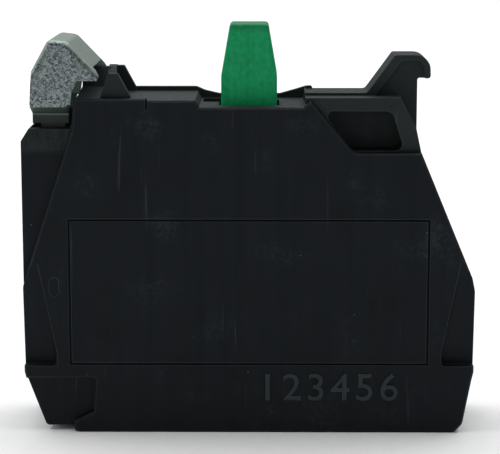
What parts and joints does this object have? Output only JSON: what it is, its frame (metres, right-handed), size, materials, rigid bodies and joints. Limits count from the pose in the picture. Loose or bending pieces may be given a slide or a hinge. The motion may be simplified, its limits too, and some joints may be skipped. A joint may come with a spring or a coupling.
{
  "type": "push button contact block",
  "caption": "Switching element that clips behind a panel push button: black housing, green spring-return plunger, steel latch, moulded hook and screw clamp terminals.",
  "frame": {"origin": "centre of the rear face, under the plunger", "axes": "+Z out of the panel along the plunger, X along the block towards the moulded hook, cover facing -Y"},
  "size_m": [0.0404, 0.01, 0.0366],
  "materials": {
    "case_plastic": "fine moulded matte",
    "plunger_plastic": "moulded satin",
    "spring_steel": "drawn wire",
    "contact_brass": "stamped",
    "silver_alloy": "satin",
    "plated_steel": "zinc plated",
    "latch_steel": "spangled zinc plating"
  },
  "bodies": {
    "case": {"case_body": "case_plastic", "case_cover": "case_plastic", "return_spring": "spring_steel", "latch_pin": "plated_steel", "latch_spring": "spring_steel", "fixed_contact_left": "contact_brass", "fixed_contact_right": "contact_brass", "fixed_tip_left": "silver_alloy", "fixed_tip_right": "silver_alloy"},
    "plunger": {"plunger": "plunger_plastic", "contact_spring": "spring_steel"},
    "bridge": {"contact_bridge": "contact_brass", "bridge_tip_left": "silver_alloy", "bridge_tip_right": "silver_alloy"},
    "latch": {"latch_hook": "latch_steel"},
    "clamp_left": {"clamp_plate_left": "plated_steel"},
    "clamp_right": {"clamp_plate_right": "plated_steel"},
    "screw_left": {"terminal_screw_left": "plated_steel", "lock_washer_left": "plated_steel"},
    "screw_right": {"terminal_screw_right": "plated_steel", "lock_washer_right": "plated_steel"}
  },
  "joints": [
    {"name": "plunger_travel", "type": "slide", "parent": "case", "child": "plunger", "axis": [0, 0, -1], "range_m": [0, 0.0043], "stiffness_N_per_m": 400, "springref_m": -0.0025, "deforming": ["return_spring"]},
    {"name": "bridge_lag", "type": "slide", "parent": "plunger", "child": "bridge", "axis": [0, 0, 1], "range_m": [0, 0.0017], "deforming": ["contact_spring"]},
    {"name": "latch_release", "type": "hinge", "parent": "case", "child": "latch", "pos_m": [-0.0176, 0, 0.0226], "axis": [0, -1, 0], "range_deg": [0, 8], "stiffness_Nm_per_rad": 0.1, "springref_deg": -14.32, "deforming": ["latch_spring"]},
    {"name": "clamp_travel_left", "type": "slide", "parent": "case", "child": "clamp_left", "axis": [0, 0, 1], "range_m": [0, 0.0042]},
    {"name": "screw_turn_left", "type": "hinge", "parent": "clamp_left", "child": "screw_left", "pos_m": [-0.0146, 0, 0.003], "axis": [0, 0, 1], "range_deg": [0, 2520]},
    {"name": "clamp_travel_right", "type": "slide", "parent": "case", "child": "clamp_right", "axis": [0, 0, 1], "range_m": [0, 0.0042]},
    {"name": "screw_turn_right", "type": "hinge", "parent": "clamp_right", "child": "screw_right", "pos_m": [0.0146, 0, 0.003], "axis": [0, 0, 1], "range_deg": [0, 2520]}
  ],
  "couplings": [
    {"joint": "bridge_lag", "follows": "plunger_travel", "ratio": 0.3953},
    {"joint": "screw_turn_left", "follows": "clamp_travel_left", "rad_per_m": 10472},
    {"joint": "screw_turn_right", "follows": "clamp_travel_right", "rad_per_m": 10472}
  ]
}
